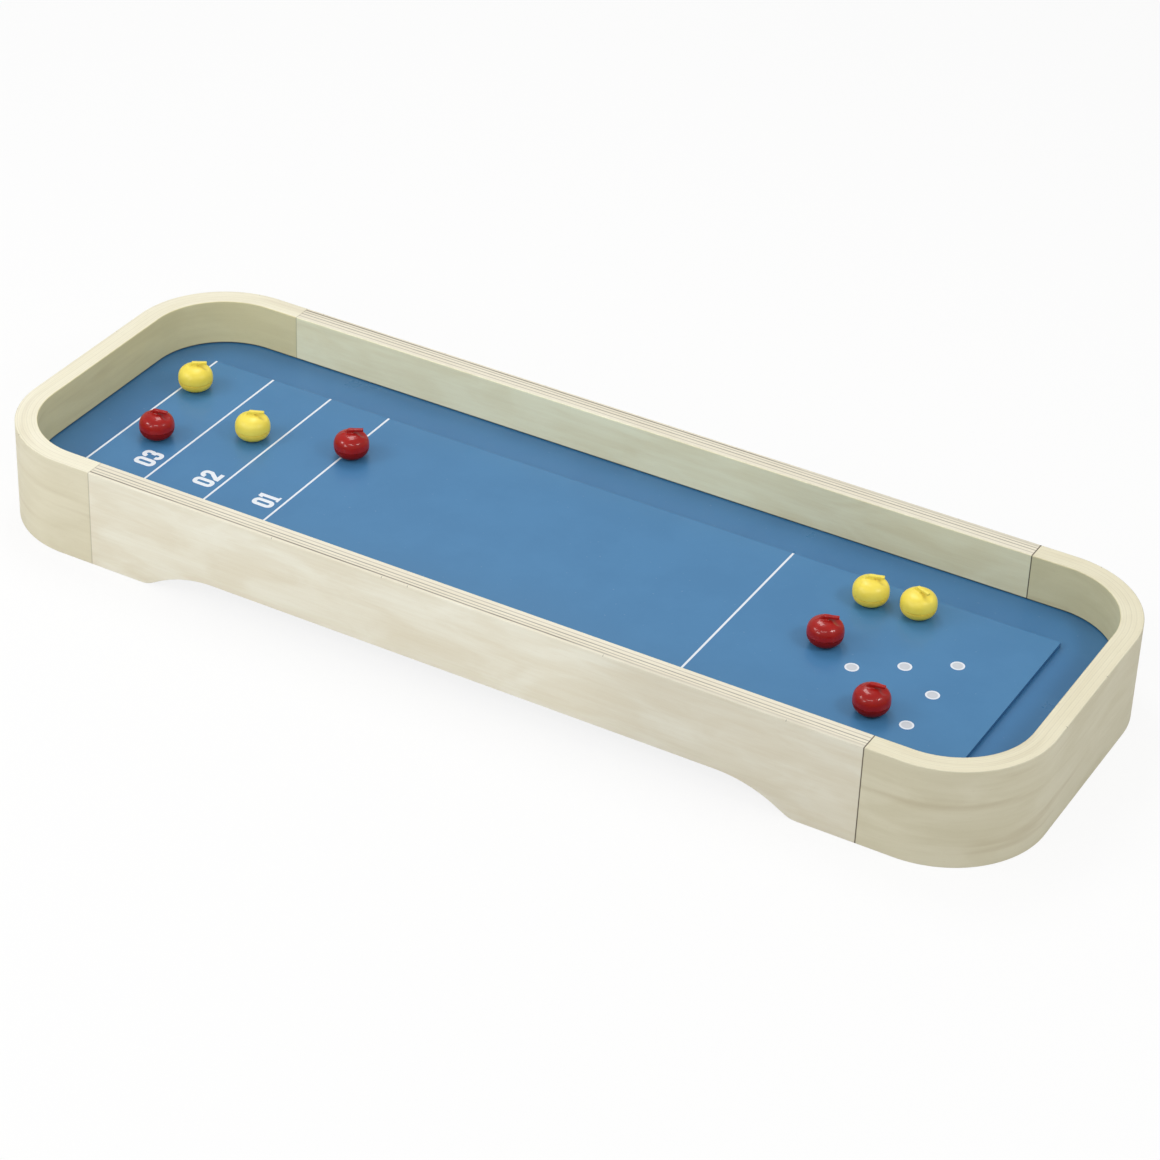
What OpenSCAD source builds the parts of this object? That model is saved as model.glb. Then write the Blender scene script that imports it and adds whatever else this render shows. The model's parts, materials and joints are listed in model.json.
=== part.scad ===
// Table curling game: a shallow wooden tray with bent ends, a raised blue lane with printed
// scoring zones, and eight small curling stones, each rolling on one steel ball.
// +X runs along the tray from the scoring end to the pin end, +Y to the gutter side, +Z up.
// The origin is under the middle of the tray, on the table.

/* [Tray] */
// Overall length of the tray
tray_l = 750; // [640:10:1000]
// Overall width of the tray
tray_w = 260; // [240:5:340]
// Height of the walls above the table
tray_h = 71; // [66:1:90]
// Thickness of the rails and of the bent ends
wall_t = 15; // [13:0.5:18]
// Outside radius of the bent corners
corner_r = 69; // [50:1:80]
// Length of each bent end along the tray, from its outer face to the joints with the rails
end_l = 94; // [84:1:110]
// Rounding of the walls' long edges
edge_r = 1.2; // [0.4:0.2:2]

/* [Rail arch] */
// Height of the straight underside of the rails above the table
arch_h = 17; // [8:1:20]
// Half the length of the straight underside
arch_half = 184; // [120:1:190]
// Radius of the curves that run down from it to the feet
arch_r = 87; // [50:1:90]

/* [Floor and lane] */
// Height of the gutter floor above the table
floor_z = 37.5; // [36:0.5:44]
// Thickness of the floor board
floor_t = 6; // [4:0.5:9]
// How far the floor board reaches into the walls' groove
tongue = 5; // [3:0.5:6]
// Play of the floor board in the groove
groove_play = 0.2; // [0.1:0.05:0.4]
// Thickness of the lane board
lane_t = 3; // [2:0.5:4]
// Gutter between the lane and the left end, beyond the scoring zones
gutter_left = 36; // [20:1:50]
// Gutter between the lane and the right end, behind the pins
gutter_right = 39; // [20:1:50]
// Gutter between the lane and the back rail
gutter_back = 37.5; // [26:0.5:42]
// Gap between the lane and the front rail
lane_gap = 0.2; // [0.1:0.1:1]

/* [Printed marks] */
// Depth of the paint in the lane's face
print_t = 0.2; // [0.1:0.1:0.4]
// Width of the printed lines
line_w = 2; // [1:0.5:4]
// Number of scoring zones
zones = 3; // [2:1:3]
// Distance between the zones' lines
zone_pitch = 47.6; // [38:0.2:56]
// Distance of the throwing line from the lane's pin end
throw_from_end = 189.5; // [140:0.5:240]
// Height of the numerals
digit_h = 15.7; // [10:0.1:20]
// Width of a numeral
digit_w = 8.6; // [7:0.1:10]
// Width of the numerals' strokes
digit_stroke = 3.1; // [1.5:0.1:3.6]
// Gap between two numerals
digit_gap = 0.9; // [0.6:0.1:3]
// Gap between a numeral's foot and the line below it
digit_foot = 3.6; // [2:0.1:6]
// Distance of the numerals' first edge from the lane's front edge
digit_from_front = 52; // [30:1:80]
// Diameter of the pin spots
spot_d = 9.3; // [5:0.1:14]
// Rows of pin spots
spot_rows = 3; // [1:1:4]
// Distance between the rows of spots
spot_row_pitch = 27.75; // [18:0.25:32]
// Distance between the spots of one row
spot_pitch = 37.2; // [20:0.2:44]
// Distance of the last row of spots from the lane's pin end
spots_from_end = 44.5; // [16:0.5:60]

/* [Dowels] */
// Diameter of the dowels that join the rails to the ends
dowel_d = 8; // [5:0.5:9]
// Length of a dowel
dowel_l = 30; // [20:1:40]
// Height of the lower and upper dowel in each joint
dowel_z = [17, 55]; // [12:1:60]
// Play round a dowel and at its ends
dowel_play = 0.1; // [0.05:0.05:0.3]

/* [Stones] */
// Diameter of a stone
stone_d = 24; // [22:0.5:26]
// Height of a stone's widest part above the lane
stone_waist = 9.2; // [8.8:0.1:10]
// Height of the dome and depth of the bowl, from the waist
dome_h = 9.2; // [8.6:0.1:10]
// Squareness of the stone's outline: 2 is an ellipse
squareness = 2.5; // [2:0.1:3]
// Gap between the stone's flat underside and the lane
under_gap = 1; // [0.8:0.1:1.4]
// Height of the seam between the shell and the base above the lane
seam_z = 8; // [7.4:0.1:8.6]
// Width of the groove that shows at the seam
seam_gap = 0.3; // [0.2:0.05:0.5]
// Wall of the moulded shell
shell_wall = 1.6; // [1.2:0.1:2.2]
// Diameter of the steel ball
ball_d = 6; // [5:0.25:6.5]
// Clearance under and round the ball, and round the cup
run_gap = 0.05; // [0.02:0.01:0.1]
// Wall of the cup that holds the ball
cup_wall = 1.2; // [0.9:0.1:1.6]
// Width and thickness of the cup's flange
flange = 1.2; // [0.8:0.1:1.6]

/* [Handle] */
// Height of the handle's top above the dome
handle_rise = 2.9; // [2.4:0.1:4]
// Thickness of the handle's bar
handle_t = 1.8; // [1.2:0.1:2.2]
// Width of the handle's bar
handle_w = 2.6; // [2:0.1:4]
// Reach of the handle's free end from the stone's axis
handle_reach = 8; // [6:0.1:9]
// Where the handle's top begins behind the axis
handle_start = 2.3; // [1.5:0.1:3]
// Where the handle's back meets the dome, behind the axis
handle_heel = 6.8; // [5:0.1:7.5]
// Easing of the corners of the handle's blunt free end
handle_ease = 0.5; // [0.2:0.1:0.8]
// Radius of the finger dish under the handle's free end
dish_r = 7; // [5.5:0.1:8]
// Distance of the dish's middle from the stone's axis
dish_x = 7; // [6:0.1:8]
// Depth of the dish below the dome's top
dish_depth = 2.9; // [2:0.1:3.4]

/* [Hidden] */
SHELLS = [for (k = [1:8]) str("stone_", k, "_shell")];
BASES = [for (k = [1:8]) str("stone_", k, "_base")];
CUPS = [for (k = [1:8]) str("stone_", k, "_ball_cup")];
BALLS = [for (k = [1:8]) str("stone_", k, "_ball")];

$fn = 64;
e = 0.01;

birch = [0.90, 0.87, 0.76];
beech = [0.80, 0.66, 0.46];
lane_blue = [0.30, 0.52, 0.72];
gutter_blue = [0.27, 0.47, 0.66];
white = [0.95, 0.96, 0.98];
red = [0.66, 0.10, 0.10];
yellow = [0.95, 0.86, 0.28];
steel = [0.75, 0.76, 0.78];
grey = [0.45, 0.46, 0.48];

half_l = tray_l / 2;
half_w = tray_w / 2;
in_l = half_l - wall_t;
in_w = half_w - wall_t;
in_r = corner_r - wall_t;
joint_x = half_l - end_l;
floor_under = floor_z - floor_t;

lane_top = floor_z + lane_t;
lane_x0 = -in_l + gutter_left;
lane_x1 = in_l - gutter_right;
lane_y0 = -in_w + lane_gap;
lane_y1 = in_w - gutter_back;
lane_mid = (lane_y0 + lane_y1) / 2;

// Each stone's place as it lies in play: which end of the lane it is measured from, the distance
// from that end, the offset from the lane's middle towards the back, the way its handle points
// in degrees, and its colour.
SCORING = 0;
PINS = 1;
STONES = [
    [SCORING, 10.1, 57.2, 33, yellow],
    [SCORING, 24.7, -9.5, 12, red],
    [SCORING, 79.8, 24.4, 26, yellow],
    [SCORING, 148.5, 41.2, 33, red],
    [PINS, 122.0, 71.1, 20, yellow],
    [PINS, 89.9, 74.5, -20, yellow],
    [PINS, 126.2, 14.4, 20, red],
    [PINS, 69.2, -36.6, 10, red],
];

stone_r = stone_d / 2;
ball_r = ball_d / 2;
ball_z = ball_r + run_gap;
cup_r = ball_r + cup_wall;
cup_top = ball_z + ball_r + run_gap + cup_wall;
flange_r = cup_r + flange;
dome_top = stone_waist + dome_h;
handle_top = dome_top + handle_rise;

// Half a rounded outline: the stone's radius at a height, for a body smaller by a wall
function stone_edge(z, wall = 0) =
    (stone_r - wall) * pow(max(0, 1 - pow(abs(z - stone_waist) / (dome_h - wall), squareness)), 1 / squareness);

// Heights between two levels, closer together towards the dome's top and the bowl's bottom
function levels(z0, z1, steps, a0, a1) =
    [for (i = [0:steps]) z0 + (z1 - z0) * (sin(a0 + (a1 - a0) * i / steps) - sin(a0)) / (sin(a1) - sin(a0))];

// Outline points of the stone from one height up to another
function dome_points(z0, z1, wall = 0) =
    [for (z = levels(z0, z1, 14, 0, 86)) [stone_edge(z, wall), z]];
function bowl_points(z0, z1, wall = 0) =
    [for (z = levels(z0, z1, 9, -60, 0)) [stone_edge(z, wall), z]];

// A rectangle from the origin with four rounded corners
module soft_rect(w, h, r, facets = 24) {
    translate([r, 0]) square([w - 2 * r, h]);
    translate([0, r]) square([w, h - 2 * r]);
    for (x = [r, w - r], y = [r, h - r]) translate([x, y]) circle(r, $fn = facets);
}

// The tray's inside seen from above, larger all round by a margin
module tray_inside(margin) {
    translate([-in_l - margin, -in_w - margin])
        soft_rect(2 * (in_l + margin), 2 * (in_w + margin), in_r + margin, facets = 128);
}

// The walls' section: x from the outer face inwards, y up, with the floor board's groove
module wall_section() {
    difference() {
        soft_rect(wall_t, tray_h, edge_r);
        translate([wall_t - tongue - groove_play, floor_under])
            square([tongue + groove_play + 1, floor_t + groove_play]);
    }
}

// A straight run of wall along +X from the origin, its outer face on y = 0 and its body towards +Y
module straight_wall(length) {
    rotate([90, 0, 90]) linear_extrude(length) wall_section();
}

// A quarter turn of wall about the origin, in the corner between +X and +Y
module corner_wall() {
    rotate_extrude(angle = 90, $fn = 128) translate([corner_r, 0]) mirror([1, 0]) wall_section();
}

// One dowel at every joint and height
module at_dowels(sides) {
    for (side = sides, y = [-1, 1], z = dowel_z)
        translate([side * joint_x, y * (half_w - wall_t / 2), z]) rotate([0, 90, 0]) children();
}

module dowel_holes(side) {
    at_dowels([side]) cylinder(h = dowel_l + 2 * dowel_play, d = dowel_d + 2 * dowel_play, center = true);
}

// The bent end on the +X side: a U of one laminated board
module bent_end() {
    color(birch) difference() {
        union() {
            for (s = [-1, 1]) scale([1, s, 1]) {
                translate([half_l - corner_r, half_w - corner_r, 0]) corner_wall();
                translate([joint_x, half_w, 0]) mirror([0, 1, 0]) straight_wall(end_l - corner_r);
            }
            translate([half_l, -half_w + corner_r, 0]) rotate([0, 0, 90])
                straight_wall(tray_w - 2 * corner_r);
        }
        dowel_holes(1);
    }
}

module right_end() bent_end();

module left_end() mirror([1, 0, 0]) bent_end();

// What the arch takes away from below a rail, drawn in x and z
module arch_gap() {
    foot = sqrt(pow(arch_r, 2) - pow(arch_r - arch_h, 2));
    difference() {
        translate([-arch_half - foot, -1]) square([2 * (arch_half + foot), arch_h + 1]);
        for (s = [-1, 1]) difference() {
            translate([s > 0 ? arch_half : -arch_half - foot - 1, -2]) square([foot + 1, arch_h + 3]);
            translate([s * arch_half, arch_h - arch_r]) circle(arch_r, $fn = 160);
        }
    }
}

// The rail on the -Y side
module rail() {
    color(birch) difference() {
        translate([-joint_x, -half_w, 0]) straight_wall(2 * joint_x);
        translate([0, -half_w + wall_t + 1, 0]) rotate([90, 0, 0]) linear_extrude(wall_t + 2) arch_gap();
        dowel_holes(-1);
        dowel_holes(1);
    }
}

module front_rail() rail();

module back_rail() mirror([0, 1, 0]) rail();

module corner_dowels() {
    color(beech) at_dowels([-1, 1]) cylinder(h = dowel_l, d = dowel_d, center = true);
}

// The gutter floor, held by its edge in the groove all round
module floor_board() {
    color(gutter_blue) translate([0, 0, floor_under]) linear_extrude(floor_t) tray_inside(tongue);
}

// A stretch of the lane across its whole width, seen from above, cut to the tray's inside where
// its front corners meet the bends
module lane_stretch(x, length) {
    intersection() {
        translate([x, lane_y0]) square([length, lane_y1 - lane_y0]);
        tray_inside(-lane_gap);
    }
}

// Shapes of everything printed on the lane, seen from above
module zone_line_shapes() {
    for (i = [0:zones]) lane_stretch(lane_x0 + i * zone_pitch, line_w);
}

module throwing_line_shape() lane_stretch(lane_x1 - throw_from_end - line_w / 2, line_w);

module spot_shapes() {
    for (row = [0:spot_rows - 1], i = [0:row])
        translate([lane_x1 - spots_from_end - (spot_rows - 1 - row) * spot_row_pitch,
                   lane_mid + (i - row / 2) * spot_pitch])
            circle(d = spot_d, $fn = 48);
}

// A ring with rounded ends, w wide and h high, of one stroke
module loop_digit(w, h) {
    inner_w = w - 2 * digit_stroke;
    difference() {
        soft_rect(w, h, w * 0.45);
        translate([digit_stroke, digit_stroke]) soft_rect(inner_w, h - 2 * digit_stroke, inner_w * 0.45);
    }
}

module digit_0() loop_digit(digit_w, digit_h);

module digit_1() {
    side = digit_stroke * 0.45;
    translate([side, 0]) square([digit_stroke, digit_h]);
    square([digit_stroke + 2 * side, digit_stroke * 0.5]);
    polygon([[0, digit_h * 0.74], [side + e, digit_h * 0.8], [side + e, digit_h],
             [side * 0.6, digit_h], [0, digit_h * 0.87]]);
}

// The upper bowl that 2 and 3 share, with its free end on the left
module top_bowl() {
    low = digit_h / 2 - digit_stroke / 2;
    intersection() {
        translate([0, low]) loop_digit(digit_w, digit_h - low);
        union() {
            translate([0, digit_h * 0.7]) square([digit_w, digit_h * 0.3 + 1]);
            translate([digit_w / 2, low - 1]) square([digit_w, digit_h]);
        }
    }
}

module digit_2() {
    knee = digit_h * 0.62;
    intersection() {
        top_bowl();
        translate([0, knee]) square([digit_w, digit_h]);
    }
    polygon([[digit_w - digit_stroke, knee + e], [digit_w, knee + e], [digit_w, knee - 1],
             [digit_stroke + 0.9, digit_stroke - e], [0, digit_stroke - e], [0, digit_stroke]]);
    square([digit_w, digit_stroke]);
}

module digit_3() {
    top_bowl();
    translate([0, digit_h]) mirror([0, 1]) top_bowl();
}

module digit(n) {
    if (n == 0) digit_0();
    if (n == 1) digit_1();
    if (n == 2) digit_2();
    if (n == 3) digit_3();
}

// 03, 02 and 01, read from the front towards the back, each standing on its zone's inner line
module numeral_shapes() {
    for (i = [1:zones]) translate([lane_x0 + i * zone_pitch - digit_foot, lane_y0 + digit_from_front])
        rotate(90) {
            digit(0);
            translate([digit_w + digit_gap, 0]) digit(zones + 1 - i);
        }
}

// Lays a shape into the lane's face
module inlay(depth) {
    translate([0, 0, lane_top - print_t]) linear_extrude(depth) children();
}

module lane_board() {
    color(lane_blue) difference() {
        translate([0, 0, floor_z]) linear_extrude(lane_t) lane_stretch(lane_x0, lane_x1 - lane_x0);
        inlay(1) {
            zone_line_shapes();
            throwing_line_shape();
            spot_shapes();
            numeral_shapes();
        }
    }
}

module zone_lines() color(white) inlay(print_t) zone_line_shapes();

module throwing_line() color(white) inlay(print_t) throwing_line_shape();

module zone_numerals() color(white) inlay(print_t) numeral_shapes();

module pin_spots() color(white) inlay(print_t) spot_shapes();

// Puts a stone's piece at stone k's place, with the handle turned its way
module at_stone(k) {
    s = STONES[k];
    x = s[0] == SCORING ? lane_x0 + s[1] : lane_x1 - s[1];
    translate([x, lane_mid + s[2], lane_top]) rotate(s[3]) children();
}

// The handle's side, drawn in x and z: a bar that rises from the dome and ends free
module handle_side() {
    under = handle_top - handle_t;
    sunk = dome_top - shell_wall / 2;
    polygon([[-handle_heel, stone_edge_height(handle_heel) - shell_wall / 2],
             [-handle_heel, stone_edge_height(handle_heel)],
             [-handle_start - 1.6, handle_top - 0.9], [-handle_start, handle_top - 0.1],
             [-handle_start + 1, handle_top], [handle_reach - handle_ease, handle_top],
             [handle_reach, handle_top - handle_ease], [handle_reach, under + handle_ease],
             [handle_reach - handle_ease, under],
             [handle_start, under], [handle_start * 0.6, under - 0.4], [handle_start * 0.4, sunk]]);
}

// Height of the dome above the lane at a distance from the axis
function stone_edge_height(r) =
    stone_waist + dome_h * pow(1 - pow(r / stone_r, squareness), 1 / squareness);

// The handle's plan: narrow where it meets the dome and blunt at its free end
module handle_plan() {
    side = handle_w / 2;
    polygon([[-handle_heel, -side * 0.35], [-handle_start, -side], [handle_reach - handle_ease, -side],
             [handle_reach, -side + handle_ease], [handle_reach, side - handle_ease],
             [handle_reach - handle_ease, side], [-handle_start, side], [-handle_heel, side * 0.35]]);
}

module handle() {
    intersection() {
        translate([0, handle_w, 0]) rotate([90, 0, 0]) linear_extrude(2 * handle_w) handle_side();
        linear_extrude(handle_top + 1) handle_plan();
    }
}

// The ball shape of the finger dish, larger by a wall for the shell's inside
module dish(wall = 0) {
    translate([dish_x, 0, dome_top + dish_r - dish_depth]) sphere(dish_r + wall, $fn = 64);
}

// The moulded upper half: a hollow dome with a finger dish, the handle, and a post over the cup
module stone_shell(k) {
    rim = seam_z + seam_gap;
    at_stone(k) color(STONES[k][4]) {
        difference() {
            union() {
                difference() {
                    rotate_extrude() polygon(concat([[0, rim], [stone_edge(rim), rim]],
                        dome_points(max(rim, stone_waist), dome_top), [[0, dome_top]]));
                    difference() {
                        rotate_extrude() polygon(concat([[0, rim - 1], [stone_edge(rim, shell_wall), rim - 1]],
                            dome_points(rim, dome_top - shell_wall, shell_wall),
                            [[0, dome_top - shell_wall]]));
                        dish(shell_wall);
                    }
                }
                translate([0, 0, cup_top + run_gap])
                    cylinder(h = dome_top - shell_wall / 2 - cup_top, r = cup_r);
            }
            dish();
        }
        handle();
    }
}

// The lower half: a bowl whose lip fits inside the shell, with the bore that the cup turns in
module stone_base(k) {
    lip = stone_edge(seam_z, shell_wall) - run_gap;
    at_stone(k) color(STONES[k][4]) difference() {
        union() {
            rotate_extrude() polygon(concat([[0, under_gap]], bowl_points(under_gap, seam_z), [[0, seam_z]]));
            translate([0, 0, seam_z - 1]) cylinder(h = 1 + seam_gap + 1.2, r = lip);
        }
        translate([0, 0, -1]) cylinder(h = stone_d, r = cup_r + run_gap);
        translate([0, 0, cup_top - flange - run_gap]) cylinder(h = stone_d, r = flange_r + run_gap);
    }
}

// The cup that carries the stone on its ball: open below, with a flange that the base hangs on
module stone_ball_cup(k) {
    at_stone(k) color(grey) difference() {
        union() {
            translate([0, 0, under_gap]) cylinder(h = cup_top - under_gap, r = cup_r);
            translate([0, 0, cup_top - flange]) cylinder(h = flange, r = flange_r);
        }
        translate([0, 0, ball_z]) sphere(ball_r + run_gap, $fn = 64);
    }
}

module stone_ball(k) {
    at_stone(k) color(steel) translate([0, 0, ball_z]) sphere(ball_r, $fn = 64);
}

left_end();
right_end();
front_rail();
back_rail();
corner_dowels();
floor_board();
lane_board();
zone_lines();
throwing_line();
zone_numerals();
pin_spots();
for (k = [0:7]) {
    stone_shell(k);
    stone_base(k);
    stone_ball_cup(k);
    stone_ball(k);
}
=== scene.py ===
# %% [markdown]
# # A table curling game
#
# The object is a shallow wooden tray. Two straight rails of plywood and two bent ends of laminated
# veneer stand round a blue floor. On the floor lies a slightly raised lane with printed marks, and
# on the lane stand eight small stones of glossy plastic.
#
# The construction model is loaded first, as a fixed frame. Every piece made here is in metres, in
# that frame, so a piece that is made in the right place needs no fitting afterwards.

# %% Load the frame
import json
from math import cos, pi, radians, sin

import bmesh
import bpy
import numpy as np
from mathutils import Matrix, Vector


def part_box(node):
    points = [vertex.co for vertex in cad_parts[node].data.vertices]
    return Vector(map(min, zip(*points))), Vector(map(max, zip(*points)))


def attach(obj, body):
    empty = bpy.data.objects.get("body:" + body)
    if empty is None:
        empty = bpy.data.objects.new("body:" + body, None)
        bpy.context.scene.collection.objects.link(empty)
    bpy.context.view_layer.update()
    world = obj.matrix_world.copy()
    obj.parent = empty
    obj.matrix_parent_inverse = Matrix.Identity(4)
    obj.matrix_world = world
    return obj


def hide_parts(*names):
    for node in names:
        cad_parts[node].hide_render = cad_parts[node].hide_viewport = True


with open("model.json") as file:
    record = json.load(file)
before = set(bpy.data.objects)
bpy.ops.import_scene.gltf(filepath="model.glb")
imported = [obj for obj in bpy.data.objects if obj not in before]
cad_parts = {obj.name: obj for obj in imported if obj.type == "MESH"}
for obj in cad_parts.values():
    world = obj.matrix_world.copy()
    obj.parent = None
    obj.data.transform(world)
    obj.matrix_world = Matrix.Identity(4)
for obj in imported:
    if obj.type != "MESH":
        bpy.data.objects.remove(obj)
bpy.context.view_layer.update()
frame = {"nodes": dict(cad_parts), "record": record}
NODES = frame["nodes"]
MM = 0.001


# %% [markdown]
# ## The sizes
#
# The tray's sizes are read from the boxes of the construction model's nodes, so that the looks
# follow when the construction changes. What a box doesn't tell, such as the bend's radius, is
# written here once.

# %% Read the tray's sizes
END_LOW, END_HIGH = (Vector(corner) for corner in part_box("right_end"))
HALF_LENGTH, HALF_WIDTH, HEIGHT = END_HIGH
JOINT_X = END_LOW.x
WALL = 15 * MM
CORNER = 69 * MM
EDGE = 0.5 * MM
FLOOR_UNDER, FLOOR_TOP = (corner[2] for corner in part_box("floor_board"))
GROOVE_DEPTH, GROOVE_PLAY = 5.2 * MM, 0.2 * MM
ARCH_HEIGHT, ARCH_HALF, ARCH_RADIUS = 17 * MM, 184 * MM, 87 * MM
LANE_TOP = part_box("lane_board")[1][2]
print("joints at", round(JOINT_X / MM, 1), "mm, lane top at", round(LANE_TOP / MM, 1), "mm")

# %% [markdown]
# ## The camera
#
# The photograph was taken from above the front right corner with a long lens. The camera turns
# round the middle of the tray's underside: yaw is the way round, pitch the height above the
# table and roll the tilt of the picture. The two offsets move it sideways and up.

# %% Place the camera
YAW, PITCH, ROLL = radians(28.439), radians(33.634), radians(2.373)
DISTANCE, ASIDE, ABOVE = 2.35777, 0.014056, 0.013601
# both in the photograph's pixels
FOCAL_LENGTH, PHOTO_WIDTH = 3586.255, 1160
SENSOR_WIDTH = 36

back = Vector((sin(YAW) * cos(PITCH), -cos(YAW) * cos(PITCH), sin(PITCH)))
right = Vector((cos(YAW), sin(YAW), 0))
up = back.cross(right)
across = right * cos(ROLL) + up * sin(ROLL)
upward = up * cos(ROLL) - right * sin(ROLL)
camera = bpy.data.objects.new("camera", bpy.data.cameras.new("camera"))
bpy.context.scene.collection.objects.link(camera)
camera.data.sensor_width = SENSOR_WIDTH
camera.data.lens = SENSOR_WIDTH * (FOCAL_LENGTH / PHOTO_WIDTH)
camera.data.clip_start, camera.data.clip_end = 0.05, 50
camera.matrix_world = Matrix.Translation(back * DISTANCE + right * ASIDE + up * ABOVE) @ Matrix(
    (across, upward, back)).transposed().to_4x4()
bpy.context.scene.camera = camera
print("camera at", [round(v, 3) for v in camera.matrix_world.translation])

# %% [markdown]
# ## Words for node trees
#
# Materials and Geometry Nodes are both trees of nodes. These helpers add one node, set its
# settings and sockets, and hand back its output, so that a tree reads like a recipe.

# %% Make helpers for node trees


def put(tree, kind, sockets=None, out=0, **settings):
    """Adds a node, sets its settings and sockets, and returns one of its outputs."""
    node = tree.nodes.new(kind)
    for name, value in settings.items():
        setattr(node, name, value)
    for key, value in (sockets or {}).items():
        if isinstance(value, bpy.types.NodeSocket):
            tree.links.new(value, node.inputs[key])
        else:
            node.inputs[key].default_value = value
    return node.outputs[out] if node.outputs else None


def calc(tree, operation, *values):
    """One Math node."""
    return put(tree, "ShaderNodeMath", dict(enumerate(values)), operation=operation)


def times(tree, *values):
    """The product of some values."""
    product = values[0]
    for value in values[1:]:
        product = calc(tree, "MULTIPLY", product, value)
    return product


def between(tree, value, low, high, to_low=0.0, to_high=1.0):
    """Maps a value's range to another one, smoothly and without going past its ends."""
    return put(tree, "ShaderNodeMapRange", {0: value, 1: low, 2: high, 3: to_low, 4: to_high},
               interpolation_type="SMOOTHSTEP")


def noise(tree, vector, stretch, shift=(0, 0, 0), detail=3.0, rough=0.5, distort=0.0):
    """Noise over a vector. The stretch says how many times a metre it changes along each axis."""
    placed = put(tree, "ShaderNodeMapping", {"Vector": vector, "Scale": stretch, "Location": shift})
    return put(tree, "ShaderNodeTexNoise", {"Vector": placed, "Scale": 1.0, "Detail": detail,
                                            "Roughness": rough, "Distortion": distort})


def parts(tree, vector):
    """The three parts of a vector."""
    split = tree.nodes.new("ShaderNodeSeparateXYZ")
    tree.links.new(vector, split.inputs[0])
    return split.outputs


def object_place(tree):
    """The place on the piece, in its own coordinates."""
    return put(tree, "ShaderNodeTexCoord", out="Object")


# %% [markdown]
# A material's tree mixes a few colours. Each is written as a screen shows it, from 0 to 255, and
# turned into the linear value that nodes reckon in. Each of the object's materials ends in one
# Principled surface, because other programs can read that one too.

# %% Make helpers for colours and surfaces


def mix(tree, factor, first, second, blend="MIX"):
    """Mixes two colours."""
    return put(tree, "ShaderNodeMix", {0: factor, 6: first, 7: second}, out=2,
               data_type="RGBA", blend_type=blend)


def ramp(tree, value, stops):
    """A colour ramp with (place, grey) stops."""
    node = tree.nodes.new("ShaderNodeValToRGB")
    tree.links.new(value, node.inputs[0])
    elements = node.color_ramp.elements
    for element, (place, grey) in zip(elements, (stops[0], stops[-1])):
        element.position, element.color = place, (grey, grey, grey, 1)
    for place, grey in stops[1:-1]:
        elements.new(place).color = (grey, grey, grey, 1)
    return node.outputs[0]


def srgb(red, green, blue):
    """A colour as a screen shows it, from 0 to 255, as the linear colour that nodes use."""
    return (*(((c / 255 + 0.055) / 1.055) ** 2.4 for c in (red, green, blue)), 1.0)


def new_material(name):
    """An empty material and its tree."""
    material = bpy.data.materials.new(name)
    material.use_nodes = True
    material.node_tree.nodes.clear()
    return material, material.node_tree


def surface(tree, colour, roughness, height=None, relief=0.0, **sockets):
    """Ends a material's tree in one Principled surface, with an optional height as its relief in metres."""
    values = {"Base Color": colour, "Roughness": roughness}
    values.update({name.replace("_", " "): value for name, value in sockets.items()})
    if height is not None:
        bumps = put(tree, "ShaderNodeBump", {"Height": height, "Distance": relief})
        values["Normal"] = values["Coat Normal"] = bumps
    put(tree, "ShaderNodeOutputMaterial", {"Surface": put(tree, "ShaderNodeBsdfPrincipled", values)})


# %% [markdown]
# ## The room
#
# The tray stands on a plain pale floor. The floor reflects light on the tray as any pale table
# does, but to the camera part of it shines by itself, so that it looks nearly white and still
# keeps the tray's soft shadow. The world lights the tray at about half its strength, and the camera
# sees it white.

# %% Make the floor and the world
FLOOR_REACH = 8
SHINING_SHARE, SHINE = 0.84, 1.02
ROOM_LIGHT, ROOM_MIRRORED = 0.53, 0.48

floor_mesh = bpy.data.meshes.new("floor")
floor_corners = [(FLOOR_REACH * x, FLOOR_REACH * y, 0) for x, y in ((-1, -1), (1, -1), (1, 1), (-1, 1))]
floor_mesh.from_pydata(floor_corners, [], [(0, 1, 2, 3)])
floor = bpy.data.objects.new("floor", floor_mesh)
bpy.context.scene.collection.objects.link(floor)
floor_paint, tree = new_material("floor_paint")
seen = put(tree, "ShaderNodeLightPath", out="Is Camera Ray")
pale = put(tree, "ShaderNodeBsdfDiffuse", {"Color": (0.80, 0.80, 0.79, 1)})
glow = put(tree, "ShaderNodeEmission", {"Color": (1, 1, 1, 1), "Strength": SHINE})
shining = times(tree, seen, SHINING_SHARE)
shade = put(tree, "ShaderNodeMixShader", {0: shining, 1: pale, 2: glow})
put(tree, "ShaderNodeOutputMaterial", {"Surface": shade})
floor_mesh.materials.append(floor_paint)

world = bpy.data.worlds.new("room")
bpy.context.scene.world = world
world.use_nodes = True
tree = world.node_tree
tree.nodes.clear()
in_mirror = put(tree, "ShaderNodeLightPath", out="Is Glossy Ray")
dim = put(tree, "ShaderNodeMapRange", {0: in_mirror, 3: ROOM_LIGHT, 4: ROOM_MIRRORED})
strength = calc(tree, "MAXIMUM", dim, put(tree, "ShaderNodeLightPath", out="Is Camera Ray"))
sky = put(tree, "ShaderNodeBackground", {"Color": (1, 1, 1, 1), "Strength": strength})
put(tree, "ShaderNodeOutputWorld", {"Surface": sky})
bpy.context.scene.view_settings.view_transform = "Standard"
print("room light", ROOM_LIGHT, "and", ROOM_MIRRORED, "in reflections")

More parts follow.
